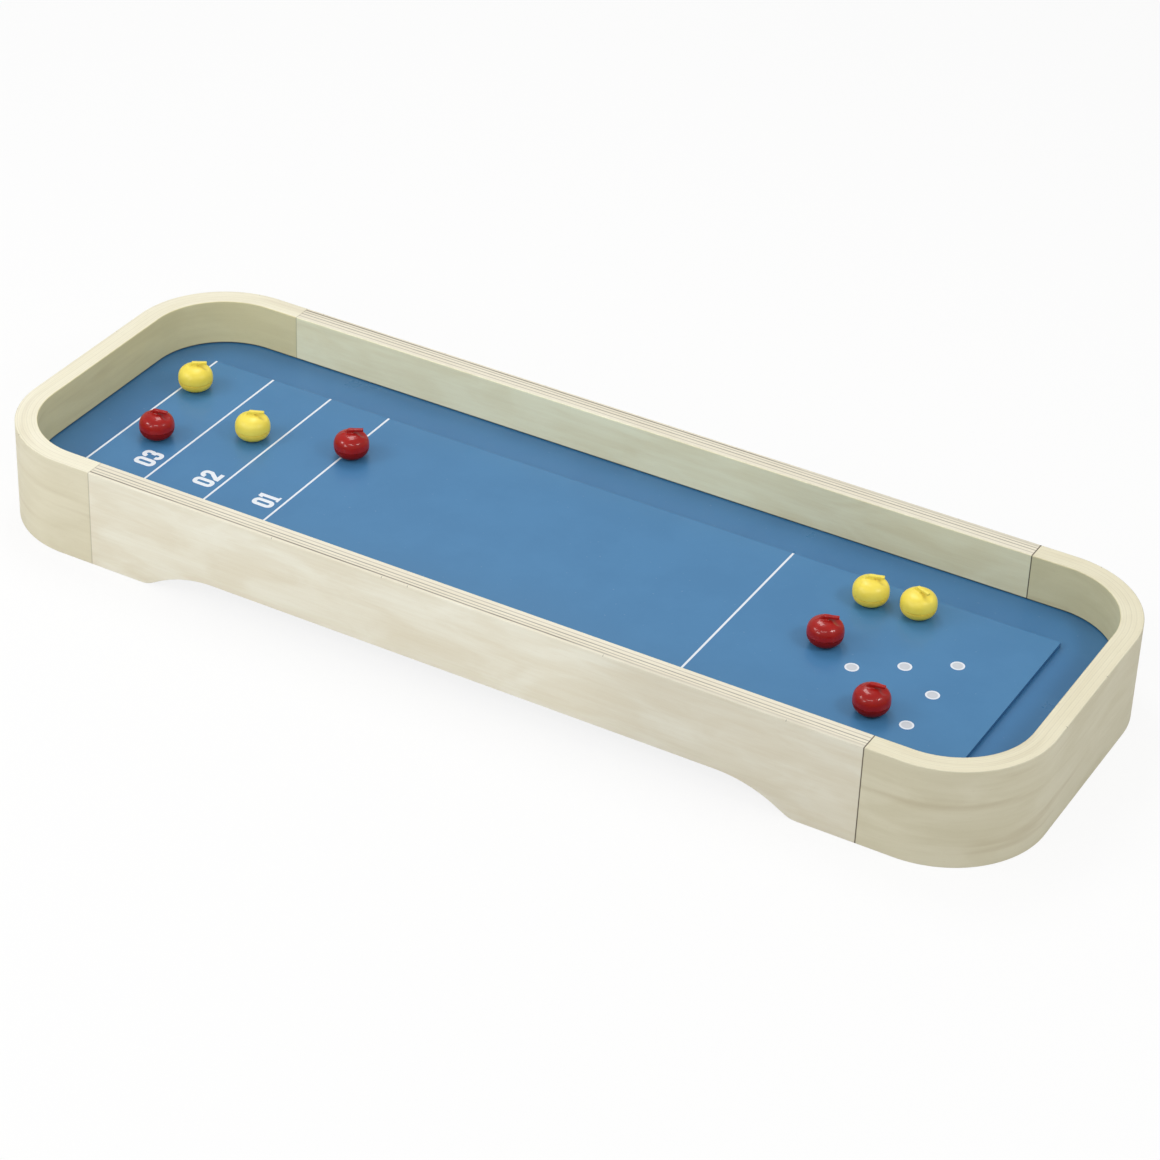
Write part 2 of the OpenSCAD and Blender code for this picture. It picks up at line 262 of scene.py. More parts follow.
# %% [markdown]
# ## The lamps
#
# The red stones are small mirrors that show what lit them. Each has a bright patch near its top,
# from a lamp at the back left, so the stones' soft shadows fall towards the camera. Two spots at
# its left, a streak in its middle and one at its right are four more lamps, and their places on the
# stone give their places in the room. Lamps are far brighter than what they light, so each of the
# five has a glint just behind it, which only reflections show. The boards' brightness tells the
# rest: the tray's left end is the brightest and its right end isn't dark, so a wide pale curtain on
# each side adds even light. The curtains are too dim to see in the stones, so no reflection shows
# them.

# %% Hang the lamps
# each lamp's name, place, size, power and the power of its glint
LAMPS = (("back_left", (-0.54, 0.60, 1.55), (0.46, 0.82), 6.2, 4.5),
         ("long_front", (0.42, -1.20, 1.46), (0.95, 0.20), 3.3, 3.0),
         ("left", (-1.13, -0.90, 1.11), (0.46, 0.34), 3.0, 3.5),
         ("low_left", (-0.46, -1.59, 0.82), (0.46, 0.44), 3.0, 3.5),
         ("right", (1.20, -0.05, 1.16), (0.46, 0.26), 4.0, 3.5))
CURTAINS = (("left_curtain", (-1.13, -0.86, 1.11), (1.10, 0.70), 3.1),
            ("right_curtain", (1.50, -0.05, 1.34), (1.10, 0.55), 1.0))
JUST_BEHIND = 1.01


def lamp(name, place, size, watts, lights=True, mirrored=True):
    """A rectangular lamp at a place, turned towards the tray. It lights things, is mirrored, or both."""
    light = bpy.data.lights.new(name, "AREA")
    light.shape, light.size, light.size_y, light.energy = "RECTANGLE", *size, watts
    holder = bpy.data.objects.new(name, light)
    turn = (-Vector(place)).to_track_quat("-Z", "Y")
    holder.matrix_world = Matrix.Translation(place) @ turn.to_matrix().to_4x4()
    holder.visible_diffuse, holder.visible_glossy = lights, mirrored
    bpy.context.scene.collection.objects.link(holder)


for name, place, size, watts, glint in LAMPS:
    lamp(f"{name}_lamp", place, size, watts)
    lamp(f"{name}_glint", Vector(place) * JUST_BEHIND, size, glint, lights=False)
for name, place, size, watts in CURTAINS:
    lamp(name, place, size, watts, mirrored=False)
print("lamps:", len(LAMPS), "with a glint each, and", len(CURTAINS), "curtains")

# %% [markdown]
# ## Boards that are bent
#
# A bent end is glued up from flat veneers and pressed round a form while the glue sets, so its
# grain runs round the corners. A corner cut out of a block would show its grain running straight
# through, so the end is made here as the real one is. Mesh code draws the wall's section and sweeps
# it into a straight board, and a Geometry Nodes tree then cuts the arch, keeps each point's place on
# the flat board for the grain, and bends the board. The rails go through the same tree with a
# middle so long that nothing is left to bend.

# %% Draw the wall's section
EDGE_STEPS = 5
EDGE_REST = 0.5 * MM
LIP = 0.5 * MM


def wall_section():
    """Points round the wall's section as (depth from the outer face, height), with the floor's groove."""
    points = []
    # each rounded edge's middle, and the angle in degrees that it starts at
    for depth, height, start in ((EDGE, EDGE, 180), (WALL - EDGE, EDGE, 270),
                                 (WALL - EDGE, HEIGHT - EDGE, 0), (EDGE, HEIGHT - EDGE, 90)):
        # the floor's groove comes on the way up the inner face
        if start == 0:
            inner, high = WALL - GROOVE_DEPTH, FLOOR_TOP + GROOVE_PLAY
            points += [(WALL, FLOOR_UNDER), (inner, FLOOR_UNDER), (inner, high), (WALL - LIP, high),
                       (WALL, high + LIP)]
        arc = [radians(start + 90 * k / EDGE_STEPS) for k in range(EDGE_STEPS + 1)]
        round_edge = [Vector((depth + EDGE * cos(a), height + EDGE * sin(a))) for a in arc]
        run_in = Vector((sin(arc[0]), -cos(arc[0]))) * EDGE_REST
        run_out = Vector((-sin(arc[-1]), cos(arc[-1]))) * EDGE_REST
        points += [tuple(p) for p in (round_edge[0] + run_in, *round_edge, round_edge[-1] + run_out)]
    return points


SECTION = wall_section()
print("wall section:", len(SECTION), "points")

# %% [markdown]
# The section is drawn at many places along the board, and faces join each ring of points to the
# next. Each board's two ends get a tiny chamfer. Where two boards meet, the chamfers make the fine
# dark line that shows at every joint.

# %% Sweep it into a flat board
CHAMFER = 0.14 * MM


def ring_faces(count, here, there):
    """Faces between two rings of points, whose first points have the numbers here and there."""
    pairs = [(i, (i + 1) % count) for i in range(count)]
    return [(here + i, here + after, there + after, there + i) for i, after in pairs]


def solid_piece(name, points, faces, placed=Matrix()):
    """A closed mesh as an object, with its faces turned outward."""
    mesh = bpy.data.meshes.new(name)
    mesh.from_pydata(points, [], faces)
    mesh.transform(placed)
    work = bmesh.new()
    work.from_mesh(mesh)
    bmesh.ops.recalc_face_normals(work, faces=work.faces)
    work.to_mesh(mesh)
    work.free()
    piece = bpy.data.objects.new(name, mesh)
    bpy.context.scene.collection.objects.link(piece)
    return piece


def flat_board(name, places):
    """A straight board along X with its outer face at Y 0, closed at both ends."""
    rings = []
    last = len(places) - 1
    for number, along in enumerate(places):
        cut = CHAMFER if number in (0, last) else 0
        rings.append([(along, min(max(depth, cut), WALL - cut), min(max(height, cut), HEIGHT - cut))
                      for depth, height in SECTION])
    count = len(SECTION)
    faces = []
    for ring in range(last):
        faces += ring_faces(count, ring * count, (ring + 1) * count)
    faces += [tuple(range(count)), tuple(last * count + i for i in range(count))]
    return solid_piece(name, [point for ring in rings for point in ring], faces)


# %% [markdown]
# The places along a board are its stations. They stand close together only where the board bends or
# where the arch curves, so the mesh is smooth there and light everywhere else.

# %% Choose the stations


def spread(low, high, step):
    """Even places from low to high, about a step apart."""
    return np.linspace(low, high, max(2, round((high - low) / step) + 1)).tolist()


def stations(half, fine_runs, coarse=12 * MM):
    """Places along a board of twice the half. Each fine run is (from, to, step) on both of its sides."""
    marks = {0.0, half, half - CHAMFER}
    for start, end, step in fine_runs:
        marks.update(spread(start, end, step))
    filled = sorted(marks)
    for low, high in zip(filled, filled[1:]):
        marks.update(spread(low, high, coarse))
    marks = sorted({round(m, 6) for m in marks})
    return [-m for m in reversed(marks[1:])] + marks


# %% [markdown]
# The tree reads a point's place on the flat board: X along it, Y into it, Z up. The arch lifts
# only the lower edge, by the height of a circle that ends in a straight line, and a smooth maximum
# softens the corner where it meets the foot. The bend leaves the board's middle straight, lays the
# next stretch round the corner and the rest straight back again.

# %% Write the arch and the bend as nodes
# points below this height belong to a board's lower edge
LOWER_EDGE = 4 * MM


def beyond(tree, value, limit):
    """How far a value is past a limit, or 0 before it."""
    return calc(tree, "MAXIMUM", calc(tree, "SUBTRACT", value, limit), 0.0)


def arch_lift(tree, given, far, height):
    """How far the arch lifts a point of the lower edge. Far is the distance from the board's middle."""
    past = beyond(tree, far, given["Arch Half"])
    square = beyond(tree, times(tree, given["Arch Radius"], given["Arch Radius"]), times(tree, past, past))
    drop = calc(tree, "SUBTRACT", given["Arch Radius"], calc(tree, "SQRT", square))
    arch = calc(tree, "SUBTRACT", given["Arch Height"], drop)
    rise = calc(tree, "SMOOTH_MAX", arch, 0.0, given["Foot Softness"])
    return times(tree, rise, calc(tree, "LESS_THAN", height, LOWER_EDGE))


def bent_place(tree, given, along, far, depth, height):
    """Where a point of the flat board lies once the board is bent and turned to its side of the tray."""
    bend = times(tree, given["Corner Radius"], pi / 2)
    into = beyond(tree, far, given["Straight Half"])
    angle = calc(tree, "DIVIDE", calc(tree, "MINIMUM", into, bend), given["Corner Radius"])
    leg = beyond(tree, into, bend)
    radius = calc(tree, "SUBTRACT", given["Corner Radius"], depth)
    centre = calc(tree, "SUBTRACT", given["Outer Face"], given["Corner Radius"])
    out_x = calc(tree, "MULTIPLY_ADD", radius, calc(tree, "COSINE", angle), centre)
    out_x = calc(tree, "SUBTRACT", out_x, leg)
    out_y = calc(tree, "MULTIPLY_ADD", radius, calc(tree, "SINE", angle),
                 calc(tree, "MINIMUM", far, given["Straight Half"]))
    out_y = times(tree, out_y, calc(tree, "SIGN", along))
    bent = put(tree, "ShaderNodeCombineXYZ", {0: out_x, 1: out_y, 2: height})
    return put(tree, "ShaderNodeVectorRotate", {"Vector": bent, "Angle": given["Turn"]},
               rotation_type="Z_AXIS")


# %% [markdown]
# Before the bend moves a point, the tree keeps its place on the flat board as an attribute, and its
# distance from the nearest joint as another. Each board shifts that place by an amount of its own,
# so no two boards show the same figure. All the sizes are named inputs of the tree, and so one tree
# makes all four walls.

# %% Build the tree that makes a wall


def keep(tree, geometry, name, value, data_type):
    """Stores a value on every point of a board."""
    return put(tree, "GeometryNodeStoreNamedAttribute",
               {"Geometry": geometry, "Name": name, "Value": value}, data_type=data_type, domain="POINT")


def board_tree():
    """Geometry Nodes that turn a flat board into one of the tray's walls."""
    tree = bpy.data.node_groups.new("tray_board", "GeometryNodeTree")
    tree.interface.new_socket("Board", in_out="OUTPUT", socket_type="NodeSocketGeometry")
    tree.interface.new_socket("Board", in_out="INPUT", socket_type="NodeSocketGeometry")
    for name in ("Outer Face", "Corner Radius", "Straight Half", "Turn", "Arch Height", "Arch Half",
                 "Arch Radius", "Foot Softness", "Half Length", "Grain Shift"):
        tree.interface.new_socket(name, in_out="INPUT", socket_type="NodeSocketFloat")
    tree.interface.new_socket("Wood", in_out="INPUT", socket_type="NodeSocketMaterial")
    given = tree.nodes.new("NodeGroupInput").outputs

    place = put(tree, "GeometryNodeInputPosition")
    along, depth, height = parts(tree, place)
    far = calc(tree, "ABSOLUTE", along)
    lifted = put(tree, "ShaderNodeCombineXYZ", {2: arch_lift(tree, given, far, height)})
    board = put(tree, "GeometryNodeSetPosition", {"Geometry": given["Board"], "Offset": lifted})

    shift = put(tree, "ShaderNodeCombineXYZ", {0: given["Grain Shift"], 2: given["Grain Shift"]})
    flat = put(tree, "ShaderNodeVectorMath", {0: place, 1: shift}, operation="ADD")
    board = keep(tree, board, "board", flat, "FLOAT_VECTOR")
    to_joint = calc(tree, "SUBTRACT", given["Half Length"], far)
    board = keep(tree, board, "to_joint", to_joint, "FLOAT")

    bent = bent_place(tree, given, along, far, depth, height)
    board = put(tree, "GeometryNodeSetPosition", {"Geometry": board, "Position": bent})
    board = put(tree, "GeometryNodeRealizeInstances", {"Geometry": board})
    board = put(tree, "GeometryNodeSetMaterial", {"Geometry": board, "Material": given["Wood"]})
    put(tree, "NodeGroupOutput", {"Board": board})
    return tree


BOARD_TREE = board_tree()
print("the boards' tree:", len(BOARD_TREE.nodes), "nodes")

# %% [markdown]
# A modifier runs the tree on a flat board. It knows the tree's inputs by their sockets' identifiers,
# which are looked up from the names. The result becomes a plain mesh and the modifier goes, so that
# the piece is finished before the frame gets it. It is then shaded smoothly, except across real edges.

# %% Run a tree on a piece


def run_tree(piece, tree, **values):
    """Gives a piece the tree, sets its named inputs, and returns the result as a plain mesh object."""
    modifier = piece.modifiers.new(tree.name, "NODES")
    modifier.node_group = tree
    for item in tree.interface.items_tree:
        key = item.name.replace(" ", "_").lower()
        if item.in_out == "INPUT" and key in values:
            modifier[item.identifier] = values[key]
    bpy.context.view_layer.update()
    graph = bpy.context.evaluated_depsgraph_get()
    mesh = bpy.data.meshes.new_from_object(piece.evaluated_get(graph))
    piece.modifiers.clear()
    piece.data = mesh
    mesh.name = piece.name
    return piece


def smooth(piece, sharp_from=32):
    """Shades a piece smoothly, but keeps edges sharp where its faces meet at a larger angle in degrees."""
    piece.data.shade_smooth()
    piece.data.set_sharp_from_angle(angle=radians(sharp_from))


# %% [markdown]
# ## Pale wood
#
# The wood is birch. Its figure is quiet: long pale and warm patches that lie along the board, soft
# bands, fine streaks and short pores along the grain, and here and there a brownish streak. A
# pattern laid in space would run straight through the bends, so all of it reads the place that the
# tree kept, and bends with the board. A board's faces and its edges are cut across different layers,
# so they have colours of their own.

# %% Make the wood's figure
STAIN_FROM, STAIN_TO = 0.57, 0.76
PORES_FROM, PORES_TO, PORES_DARK = 0.68, 0.76, 0.28


def figure(tree, board, light, dark, brown, stained):
    """The tones of one face of birch, with its streaks, fibres and pores."""
    patches = noise(tree, board, (14, 55, 46), shift=(0, 5, 0), detail=3, rough=0.55, distort=0.9)
    bands = noise(tree, board, (4.5, 90, 55), detail=2, distort=0.5)
    streaks = noise(tree, board, (14, 500, 380), shift=(3, 0, 0), detail=4, rough=0.6)
    fibres = noise(tree, board, (110, 2400, 2500), shift=(7, 0, 0), detail=2, rough=0.6)
    drift = noise(tree, board, (2.4, 8, 10), shift=(1, 4, 0), detail=1)
    tone = 0.0
    # each pattern's darkest and palest level, and its share in the tone
    for pattern, low, high, share in ((drift, 0.35, 0.65, 0.18), (patches, 0.34, 0.66, 0.38),
                                      (bands, 0.34, 0.68, 0.18), (streaks, 0.3, 0.7, 0.17),
                                      (fibres, 0.35, 0.7, 0.09)):
        tone = calc(tree, "MULTIPLY_ADD", between(tree, pattern, low, high), share, tone)
    colour = mix(tree, tone, light, dark)
    stain = noise(tree, board, (5.5, 60, 70), shift=(11, 3, 2), detail=3, distort=0.4)
    stain = times(tree, between(tree, stain, STAIN_FROM, STAIN_TO), stained)
    colour = mix(tree, stain, colour, brown)
    pores = noise(tree, board, (300, 5000, 3600), shift=(2, 9, 4), detail=1)
    pores = between(tree, pores, PORES_FROM, PORES_TO)
    return mix(tree, times(tree, pores, PORES_DARK), colour, brown), streaks, fibres, pores


# %% [markdown]
# The rails' top edges show their layers as thin glue lines, the darkest near the outer face, and
# the layers between them show end grain. That darkest line fades towards the pin end, where the
# rails' faces are a little darker. The bent ends' layers all run the same way, so only faint lines
# show on their edges. The lines are too fine to model, so a colour ramp over the depth from the
# outer face draws them.

# %% Draw the layers
GLUE = srgb(70, 54, 38)
# each glue line's depth from the outer face in mm, its darkness and half its width in mm
RAIL_LINES = ((2.4, 1.0, 0.85), (5.0, 0.75, 0.55), (7.9, 0.85, 0.62), (11.3, 0.50, 0.60))
END_LINES = ((1.6, 0.16, 0.5), (3.2, 0.05, 0.5), (4.8, 0.10, 0.5), (6.4, 0.04, 0.5),
             (8.0, 0.12, 0.5), (9.6, 0.04, 0.5), (11.2, 0.10, 0.5), (12.9, 0.07, 0.5))
# layers of the rails that show end grain, as (from, to) in mm, and how softly they end and how dark
CROSS_LAYERS = ((2.4, 5.0), (7.9, 11.3))
CROSS_SOFT, CROSS_DARK = 0.2, 0.4
LINE_WANDER = 0.6 * MM
# the outermost line lies above this depth and loses this much towards the pins
OUTERMOST_ENDS, OUTERMOST_FADES = 3.6 * MM, 0.75


def line_stops(lines):
    """Ramp stops that are dark at each glue line."""
    stops = [(0.0, 0.0)]
    for depth, darkness, half in lines:
        for offset, grey in ((-half, 0.0), (0.0, darkness), (half, 0.0)):
            stops.append(((depth + offset) * MM / WALL, grey))
    return stops + [(1.0, 0.0)]


def glue_lines(tree, board, laid, lines, outermost, to_pins):
    """How dark the glue lines are. The outermost one fades towards the pins."""
    line = ramp(tree, calc(tree, "DIVIDE", laid, WALL), line_stops(lines))
    uneven = noise(tree, board, (30, 300, 0), shift=(5, 5, 0), detail=3, rough=0.7)
    faded = times(tree, outermost, to_pins, OUTERMOST_FADES)
    return times(tree, line, between(tree, uneven, 0.3, 0.6, 0.72, 1.0), calc(tree, "SUBTRACT", 1.0, faded))


def cross_grain(tree, board, laid, start, end, on_edge):
    """How dark one layer's end grain is. Start and end are depths in mm."""
    grit = between(tree, noise(tree, board, (1500, 260, 1500), detail=2), 0.3, 0.7, 0.0, CROSS_DARK)
    return times(tree, between(tree, laid, start * MM, (start + CROSS_SOFT) * MM),
                 between(tree, laid, (end - CROSS_SOFT) * MM, end * MM, 1.0, 0.0), grit, on_edge)


# %% [markdown]
# Knocks have left a few dark chips along the outer top edge. Where two boards meet, the joint has
# filled with a little glue and dust, more at the pin end than at the scoring end. Where the floor
# enters the walls, a dark line is painted shade in the narrow gap. Each of these marks is a share
# from 0 to 1 over the board's surface, which the wood then mixes in.

# %% Draw the chips, the joints and the painted shade in the floor's gap
GAP_SHADE = srgb(24, 32, 44)
CHIPS_PER_METRE, CHIP, CHIP_DARK = 2.2, 1.1 * MM, 0.8
# a joint's dark line: how far it reaches, and its darkness at the scoring end and at the pin end
SEAM_NEAR, SEAM_FAR, SEAM_AT_ZONES, SEAM_AT_PINS = 0.15 * MM, 0.6 * MM, 0.25, 0.9
SEAM_TURNS = 0.2
GAP_FROM, GAP_TO = 0.7 * MM, 1.3 * MM


def chips(tree, along, depth, level):
    """A few tiny dark chips along the outer top edge."""
    spot = put(tree, "ShaderNodeTexVoronoi", {"W": times(tree, along, CHIPS_PER_METRE)},
               voronoi_dimensions="1D")
    small = between(tree, spot, CHIP / 3 * CHIPS_PER_METRE, CHIP * CHIPS_PER_METRE, 1.0, 0.0)
    near = times(tree, between(tree, depth, 0.6 * MM, 1.6 * MM, 1.0, 0.0),
                 between(tree, level, HEIGHT - 1.2 * MM, HEIGHT - 0.6 * MM))
    return times(tree, small, near)


def joint_seam(tree, along):
    """How dark the line at a joint between two boards is."""
    seam = between(tree, put(tree, "ShaderNodeAttribute", out="Fac", attribute_name="to_joint"),
                   SEAM_NEAR, SEAM_FAR, 1.0, 0.0)
    darkness = between(tree, along, -SEAM_TURNS, SEAM_TURNS, SEAM_AT_ZONES, SEAM_AT_PINS)
    return times(tree, seam, darkness)


def floor_gap_shade(tree, level, inner):
    """Where the painted shade in the floor's gap lies on an inner face."""
    return times(tree, between(tree, level, FLOOR_TOP + GAP_FROM, FLOOR_TOP + GAP_TO, 1.0, 0.0),
                 between(tree, level, FLOOR_UNDER, FLOOR_UNDER + 1 * MM), inner)


# %% [markdown]
# The walls have three woods. The rails have the palest faces. The two ends are one laminated birch
# in two copies: the left end's is warmer and has paler top edges, which is painted light, and the
# right end's is darker, which is painted shade. Inside the tray every wood is tinted paler and
# yellower, which is painted light on the inner faces. Each wood lays its figure first and then the
# lines and marks, and its pores and glue lines are sunk a little into the surface.

# %% Make the three woods
# a board's skin ends between these depths, and the rest of its edge is cut across the layers
SKIN_FROM, SKIN_TO = 0.25 * MM, 0.8 * MM
# this near its inner face a board takes the full tint of painted light
INNER_SKIN = 0.1 * MM
# the boards darken towards the pin end between these places along the tray
PINS_FROM, PINS_TO = 0.06, 0.15


def wood(name, face, edge, inner_light_tint, brown, stained, lines, cross_layers=(), pin_end_shade=1.0):
    """Birch with its grain along the board and glue lines on its edges. Face and edge are (light, dark)."""
    material, tree = new_material(name)
    board = put(tree, "ShaderNodeAttribute", out="Vector", attribute_name="board")
    along, depth, _ = parts(tree, board)
    on_edge = times(tree, between(tree, depth, SKIN_FROM, SKIN_TO),
                    between(tree, depth, WALL - SKIN_TO, WALL - SKIN_FROM, 1.0, 0.0))
    light, dark = (mix(tree, on_edge, a, b) for a, b in zip(face, edge))
    colour, streaks, fibres, pores = figure(tree, board, light, dark, brown, stained)
    # painted light: near its inner face each wood is multiplied by a paler, yellower tint
    inner = between(tree, depth, WALL - SKIN_TO, WALL - INNER_SKIN)
    colour = mix(tree, inner, colour, (*inner_light_tint, 1), "MULTIPLY")
    real_along, _, real_level = parts(tree, object_place(tree))
    to_pins = between(tree, real_along, PINS_FROM, PINS_TO)
    wander = noise(tree, board, (9, 0, 0), detail=3, rough=0.6)
    laid = calc(tree, "MULTIPLY_ADD", calc(tree, "SUBTRACT", wander, 0.5), LINE_WANDER, depth)
    outermost = calc(tree, "LESS_THAN", laid, OUTERMOST_ENDS)
    outer_layers = calc(tree, "MAXIMUM", outermost, calc(tree, "SUBTRACT", 1.0, on_edge))
    # the faces and the outermost layer grow darker towards the pin end
    pin_end_darkening = times(tree, to_pins, outer_layers)
    colour = mix(tree, pin_end_darkening, colour, (pin_end_shade, pin_end_shade, pin_end_shade, 1), "MULTIPLY")

    for start, end in cross_layers:
        colour = mix(tree, cross_grain(tree, board, laid, start, end, on_edge), colour, dark)
    line = glue_lines(tree, board, laid, lines, outermost, to_pins)
    colour = mix(tree, line, colour, GLUE)
    colour = mix(tree, joint_seam(tree, real_along), colour, GLUE)
    # painted shade along the gap where the floor enters the wall
    colour = mix(tree, floor_gap_shade(tree, real_level, inner), colour, GAP_SHADE)
    chipped = times(tree, chips(tree, along, depth, real_level), CHIP_DARK)
    colour = mix(tree, chipped, colour, GLUE)

    roughness = calc(tree, "MULTIPLY_ADD", streaks, 0.14, 0.46)
    raised = calc(tree, "MULTIPLY_ADD", fibres, 0.5, times(tree, streaks, 0.4))
    sunken = calc(tree, "ADD", times(tree, pores, 0.6), times(tree, line, 0.9))
    height = calc(tree, "SUBTRACT", raised, sunken)
    surface(tree, colour, roughness, height, 0.06 * MM, Specular_IOR_Level=0.28)
    return material


RAIL_WOOD = wood("rail_birch", face=(srgb(245, 243, 228), srgb(226, 217, 193)),
                 edge=(srgb(240, 234, 215), srgb(230, 222, 201)), inner_light_tint=(1.12, 1.12, 0.95),
                 brown=srgb(205, 192, 162), stained=0.22, lines=RAIL_LINES, cross_layers=CROSS_LAYERS,
                 pin_end_shade=0.89)
# painted light: the left end's top edges are paler than the right end's
LEFT_WOOD = wood("left_end_birch", face=(srgb(230, 224, 200), srgb(216, 208, 180)),
                 edge=(srgb(247, 242, 220), srgb(237, 230, 203)), inner_light_tint=(1.07, 1.04, 0.83),
                 brown=srgb(180, 162, 128), stained=0.30, lines=END_LINES)
# painted shade: the right end is a darker copy of the same laminated birch
RIGHT_SHADED_WOOD = wood("right_end_birch", face=(srgb(219, 214, 191), srgb(203, 196, 168)),
                  edge=(srgb(237, 231, 205), srgb(227, 219, 190)), inner_light_tint=(1.08, 1.06, 0.90),
                  brown=srgb(168, 150, 112), stained=0.34, lines=END_LINES)
print("woods:", *(birch.name for birch in (RAIL_WOOD, LEFT_WOOD, RIGHT_SHADED_WOOD)))

# %% [markdown]
# ## The four walls
#
# The two rails and the two ends come from the same tree. A rail is a long board whose arch curves
# down to its feet, so its stations stand close together there. An end is a shorter board whose
# stations stand close together round its two bends.

# %% Bend the ends and cut the rails
END_STRAIGHT = HALF_WIDTH - CORNER
BEND = CORNER * pi / 2
END_HALF = END_STRAIGHT + BEND + (HALF_LENGTH - CORNER - JOINT_X)
# the arch curves down to its foot over this length, and the corner at the foot is this soft
ARCH_CURVE, FOOT_SOFTNESS = 52 * MM, 6 * MM
# a rail's straight middle is longer than the rail, and an end's arch is too low to cut anything
LONG_MIDDLE, NO_ARCH = 1.0, -1.0


def wall(name, node, half, fine_runs, material, slot, **sizes):
    """One wall of the tray in place of its construction node."""
    flat = flat_board(name, stations(half, fine_runs))
    piece = run_tree(flat, BOARD_TREE, wood=material, corner_radius=CORNER, half_length=half,
                     arch_half=ARCH_HALF, arch_radius=ARCH_RADIUS, foot_softness=FOOT_SOFTNESS, **sizes)
    smooth(piece)
    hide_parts(node)
    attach(piece, "tray")
    print(name, len(piece.data.polygons), "faces")


# where the stations stand close together, as (from, to, step)
RAIL_FINE = [(ARCH_HALF - 4 * MM, ARCH_HALF + ARCH_CURVE + 6 * MM, 1.5 * MM)]
END_FINE = [(END_STRAIGHT, END_STRAIGHT + BEND, 2.2 * MM)]
for name, node, turn, shift in (("front_rail_board", "front_rail", -90, 0.4),
                                ("back_rail_board", "back_rail", 90, 2.7)):
    wall(name, node, JOINT_X, RAIL_FINE, RAIL_WOOD, "rail_plywood", outer_face=HALF_WIDTH,
         straight_half=LONG_MIDDLE, turn=radians(turn), arch_height=ARCH_HEIGHT, grain_shift=shift)
for name, node, birch, turn, shift in (("right_bent_end", "right_end", RIGHT_SHADED_WOOD, 0, 1.3),
                                       ("left_bent_end", "left_end", LEFT_WOOD, 180, 3.9)):
    wall(name, node, END_HALF, END_FINE, birch, "laminated_birch", outer_face=HALF_LENGTH,
         straight_half=END_STRAIGHT, turn=radians(turn), arch_height=NO_ARCH, grain_shift=shift)

# %% [markdown]
# ## Paint and print
#
# The floor and the lane are smooth boards with a satin blue paint. Sprayed paint is never quite
# even: it has a soft mottle, a very fine orange peel, and a few specks of dust. The lane's upright
# side faces are coloured darker, which is painted shade on its edges. The construction nodes of the
# boards and of the printed marks already have the right shapes, so they are only dressed in materials.

# %% Paint the boards


def dress(node, material):
    """Gives a construction node a material."""
    mesh = NODES[node].data
    mesh.materials.clear()
    mesh.materials.append(material)


def paint(name, colour, deep, roughness, side_shade_colour=None):
    """Satin paint on a smooth board."""
    material, tree = new_material(name)
    place = object_place(tree)
    mottle = noise(tree, place, (22, 22, 22), detail=4, rough=0.55)
    peel = noise(tree, place, (900, 900, 900), detail=2)
    dust = between(tree, noise(tree, place, (420, 420, 420), shift=(4, 1, 7), detail=1), 0.74, 0.80)
    tone = mix(tree, between(tree, mottle, 0.34, 0.66), colour, deep)
    tone = mix(tree, times(tree, dust, 0.10), tone, srgb(190, 205, 220))
    if side_shade_colour:
        # painted shade: faces that stand upright take the darker side colour
        facing_up = parts(tree, put(tree, "ShaderNodeTexCoord", out="Normal"))[2]
        side = between(tree, calc(tree, "ABSOLUTE", facing_up), 0.2, 0.8, 1.0, 0.0)
        tone = mix(tree, side, tone, side_shade_colour)
    rough = calc(tree, "MULTIPLY_ADD", mottle, 0.10, roughness)
    surface(tree, tone, rough, peel, 0.006 * MM, Specular_IOR_Level=0.5)
    return material


LANE_BLUE = srgb(73, 130, 176)
LANE_PAINT = paint("lane_paint", LANE_BLUE, srgb(69, 126, 172), 0.20, side_shade_colour=srgb(48, 100, 152))
GUTTER_PAINT = paint("gutter_paint", srgb(63, 119, 167), srgb(59, 115, 163), 0.24)
dress("lane_board", LANE_PAINT)
dress("floor_board", GUTTER_PAINT)
print("nodes in the lane's paint:", len(LANE_PAINT.node_tree.nodes), "and in the gutter's:",
      len(GUTTER_PAINT.node_tree.nodes))

# %% [markdown]
# The printed marks are thin white ink, slightly worn. A line's ink feathers out at its two sides,
# and a spot's ink is pushed to its rim, so its middle is greyer. Both follow the distance from a
# mark's middle, and the middles are worked out from the construction nodes' boxes.

# %% Print the marks


def from_middle(tree, place, middles, axes):
    """The distance to the nearest of some middles, counted only along the given axes."""
    nearest = 1.0
    for middle in middles:
        apart = put(tree, "ShaderNodeVectorMath", {0: place, 1: middle}, operation="SUBTRACT")
        counted = put(tree, "ShaderNodeVectorMath", {0: apart, 1: axes}, operation="MULTIPLY")
        far = put(tree, "ShaderNodeVectorMath", {0: counted}, out="Value", operation="LENGTH")
        nearest = calc(tree, "MINIMUM", nearest, far)
    return nearest


def print_ink(name, middles=(), axes=(1, 1, 1), fade=(0, 0), faded=None):
    """White ink with tiny worn spots. Along the fade, from each middle, it turns to the faded colour."""
    material, tree = new_material(name)
    place = object_place(tree)
    worn = between(tree, noise(tree, place, (700, 700, 700), detail=3, rough=0.7), 0.66, 0.78)
    colour = mix(tree, times(tree, worn, 0.35), srgb(231, 236, 243), srgb(165, 186, 212))
    if middles:
        thin = between(tree, from_middle(tree, place, middles, axes), *fade)
        colour = mix(tree, thin, colour, faded)
    surface(tree, colour, 0.42, worn, 0.004 * MM)
    return material


